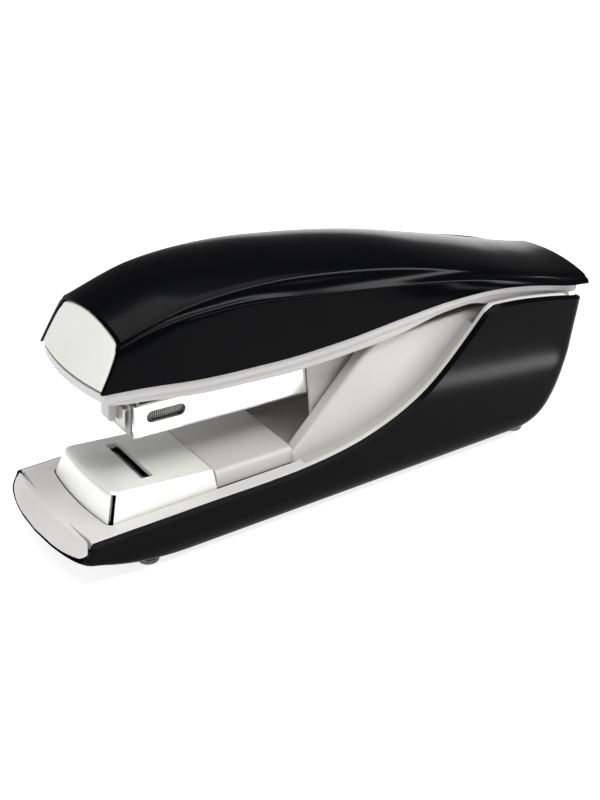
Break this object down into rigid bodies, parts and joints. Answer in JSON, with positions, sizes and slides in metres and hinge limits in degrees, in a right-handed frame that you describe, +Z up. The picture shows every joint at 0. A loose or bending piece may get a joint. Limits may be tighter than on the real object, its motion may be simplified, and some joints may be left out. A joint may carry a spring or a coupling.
{
  "type": "desk stapler",
  "caption": "Desk stapler with a flat-clinch anvil: a black lid over a steel magazine, hinged at the rear of a long base with a pale tray.",
  "frame": {"origin": "bottom centre of the bounding box, level with the undersides of the four feet, on the plane of symmetry", "axes": "X along the stapler with the jaw opening towards -X, Y across it, Z up"},
  "size_m": [0.145, 0.037, 0.0612],
  "materials": {
    "black_gloss_plastic": "glossy black",
    "pale_grey_plastic": "satin",
    "polished_steel": "bright polished",
    "plain_steel": "plain drawn or stamped",
    "staple_wire": "bright wire",
    "dark_rubber": "matt"
  },
  "bodies": {
    "base": {"base_shell": "black_gloss_plastic", "base_liner": "pale_grey_plastic", "foot_front_left": "dark_rubber", "foot_front_right": "dark_rubber", "foot_rear_left": "dark_rubber", "foot_rear_right": "dark_rubber", "base_screw_1": "plain_steel", "base_screw_2": "plain_steel", "base_screw_3": "plain_steel", "base_screw_4": "plain_steel", "pivot_bracket": "plain_steel", "pivot_pin": "plain_steel", "clincher_block": "plain_steel", "anvil_pin": "plain_steel", "anvil_spring": "plain_steel", "return_spring": "plain_steel"},
    "anvil": {"anvil_plate": "polished_steel", "anvil_bridge": "pale_grey_plastic"},
    "clinch_wing_left": {"clinch_wing_left": "plain_steel"},
    "clinch_wing_right": {"clinch_wing_right": "plain_steel"},
    "magazine": {"magazine_channel": "polished_steel", "staple_rail": "plain_steel", "staple_strip": "staple_wire", "pusher_rod": "plain_steel", "pusher_spring": "plain_steel", "nose_plate": "plain_steel", "magazine_carrier": "pale_grey_plastic", "catch_pin": "plain_steel", "handle_spring": "plain_steel"},
    "pusher": {"staple_pusher": "plain_steel"},
    "catch": {"front_catch": "pale_grey_plastic"},
    "handle": {"lid_shell": "black_gloss_plastic", "lid_end_cap": "pale_grey_plastic", "lid_frame": "pale_grey_plastic", "driver_arm": "plain_steel", "driver_blade": "plain_steel"}
  },
  "joints": [
    {"name": "magazine_hinge", "type": "hinge", "parent": "base", "child": "magazine", "pos_m": [0.0615, 0, 0.03], "axis": [0, 1, 0], "range_deg": [-3.8, 0], "stiffness_Nm_per_rad": 2, "springref_deg": 3.44, "deforming": ["return_spring"]},
    {"name": "handle_hinge", "type": "hinge", "parent": "magazine", "child": "handle", "pos_m": [0.0615, 0, 0.03], "axis": [0, 1, 0], "range_deg": [-3.4, 60], "deforming": ["handle_spring"]},
    {"name": "anvil_hinge", "type": "hinge", "parent": "base", "child": "anvil", "pos_m": [-0.015, 0, 0.0086], "axis": [0, 1, 0], "range_deg": [-2.6, 0], "stiffness_Nm_per_rad": 1, "springref_deg": 2.86, "deforming": ["anvil_spring"]},
    {"name": "clinch_wing_left_hinge", "type": "hinge", "parent": "base", "child": "clinch_wing_left", "pos_m": [-0.0482, 0.0077, 0.0142], "axis": [1, 0, 0], "range_deg": [-8.1, 0]},
    {"name": "clinch_wing_right_hinge", "type": "hinge", "parent": "base", "child": "clinch_wing_right", "pos_m": [-0.0482, -0.0077, 0.0142], "axis": [1, 0, 0], "range_deg": [0, 8.1]},
    {"name": "catch_hinge", "type": "hinge", "parent": "magazine", "child": "catch", "pos_m": [-0.0514, 0, 0.0364], "axis": [0, 1, 0], "range_deg": [0, 18], "stiffness_Nm_per_rad": 0.02, "springref_deg": -5.73},
    {"name": "pusher_slide", "type": "slide", "parent": "magazine", "child": "pusher", "axis": [0.9985, 0, -0.0541], "range_m": [0, 0.026], "stiffness_N_per_m": 40, "springref_m": -0.01, "deforming": ["pusher_spring"]}
  ],
  "couplings": [
    {"joint": "clinch_wing_left_hinge", "follows": "anvil_hinge", "ratio": 3.08},
    {"joint": "clinch_wing_right_hinge", "follows": "anvil_hinge", "ratio": -3.08}
  ]
}
